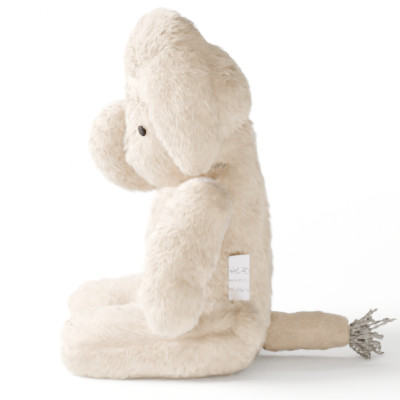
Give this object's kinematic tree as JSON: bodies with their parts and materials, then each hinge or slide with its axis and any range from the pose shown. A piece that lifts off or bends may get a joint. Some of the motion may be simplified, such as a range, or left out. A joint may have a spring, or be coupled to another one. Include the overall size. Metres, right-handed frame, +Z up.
{
  "type": "stuffed toy elephant",
  "caption": "Seated long-pile plush elephant with drooping ears, a curled trunk, soft arms and legs that swing, and a tail with a yarn tassel.",
  "frame": {"origin": "centre of the toy's outline on the floor it sits on", "axes": "+Z up; the toy faces -Y; its left side is +X"},
  "size_m": [0.194, 0.2926, 0.318],
  "materials": {
    "plush_fur": "matte",
    "short_fur": "matte",
    "fibre_filling": "matte",
    "pouch_cotton": "matte",
    "eye_plastic": "gloss",
    "washer_plastic": "satin",
    "tassel_wool": "matte",
    "label_satin": "satin"
  },
  "bodies": {
    "torso": {"body_skin_front": "plush_fur", "body_skin_back": "plush_fur", "body_stuffing": "fibre_filling", "pellet_pouch": "pouch_cotton", "care_label": "label_satin"},
    "head": {"head_skin_left": "plush_fur", "head_skin_right": "plush_fur", "head_stuffing": "fibre_filling", "eye_left": "eye_plastic", "eye_right": "eye_plastic", "eye_washer_left": "washer_plastic", "eye_washer_right": "washer_plastic"},
    "trunk": {"trunk_skin_left": "plush_fur", "trunk_skin_right": "plush_fur", "trunk_stuffing": "fibre_filling"},
    "tail": {"tail_skin": "short_fur", "tail_stuffing": "fibre_filling", "tassel_yarn": "tassel_wool", "tassel_binding": "tassel_wool"},
    "ear_left": {"ear_outer_panel_left": "plush_fur", "ear_inner_panel_left": "plush_fur"},
    "arm_left": {"arm_skin_outer_left": "plush_fur", "arm_skin_inner_left": "plush_fur", "arm_stuffing_left": "fibre_filling"},
    "leg_left": {"leg_skin_lower_left": "plush_fur", "leg_skin_upper_left": "plush_fur", "leg_stuffing_left": "fibre_filling"},
    "ear_right": {"ear_outer_panel_right": "plush_fur", "ear_inner_panel_right": "plush_fur"},
    "arm_right": {"arm_skin_outer_right": "plush_fur", "arm_skin_inner_right": "plush_fur", "arm_stuffing_right": "fibre_filling"},
    "leg_right": {"leg_skin_lower_right": "plush_fur", "leg_skin_upper_right": "plush_fur", "leg_stuffing_right": "fibre_filling"}
  },
  "joints": [
    {"name": "head_nod", "type": "hinge", "parent": "torso", "child": "head", "pos_m": [0, -0.037, 0.236], "axis": [-1, 0, 0], "range_deg": [-3, 20], "stiffness_Nm_per_rad": 0.6},
    {"name": "trunk_swing", "type": "hinge", "parent": "head", "child": "trunk", "pos_m": [0, -0.09, 0.24], "axis": [-1, 0, 0], "range_deg": [0, 25], "stiffness_Nm_per_rad": 0.15},
    {"name": "ear_flap_left", "type": "hinge", "parent": "head", "child": "ear_left", "pos_m": [0.045, -0.046, 0.292], "axis": [0, -1, 0], "range_deg": [0, 70], "stiffness_Nm_per_rad": 0.06},
    {"name": "ear_flap_right", "type": "hinge", "parent": "head", "child": "ear_right", "pos_m": [-0.045, -0.046, 0.292], "axis": [0, 1, 0], "range_deg": [0, 70], "stiffness_Nm_per_rad": 0.06},
    {"name": "arm_swing_left", "type": "hinge", "parent": "torso", "child": "arm_left", "pos_m": [0.061, -0.018, 0.149], "axis": [-1, 0, 0], "range_deg": [-15, 60], "stiffness_Nm_per_rad": 0.25},
    {"name": "arm_swing_right", "type": "hinge", "parent": "torso", "child": "arm_right", "pos_m": [-0.061, -0.018, 0.149], "axis": [-1, 0, 0], "range_deg": [-15, 60], "stiffness_Nm_per_rad": 0.25},
    {"name": "leg_swing_left", "type": "hinge", "parent": "torso", "child": "leg_left", "pos_m": [0.046, -0.008, 0.0305], "axis": [-1, 0, 0], "range_deg": [-75, 6], "stiffness_Nm_per_rad": 0.5},
    {"name": "leg_swing_right", "type": "hinge", "parent": "torso", "child": "leg_right", "pos_m": [-0.046, -0.008, 0.0305], "axis": [-1, 0, 0], "range_deg": [-75, 6], "stiffness_Nm_per_rad": 0.5},
    {"name": "tail_lift", "type": "hinge", "parent": "torso", "child": "tail", "pos_m": [0, 0.054, 0.024], "axis": [1, 0, 0], "range_deg": [0, 60], "stiffness_Nm_per_rad": 0.12}
  ]
}
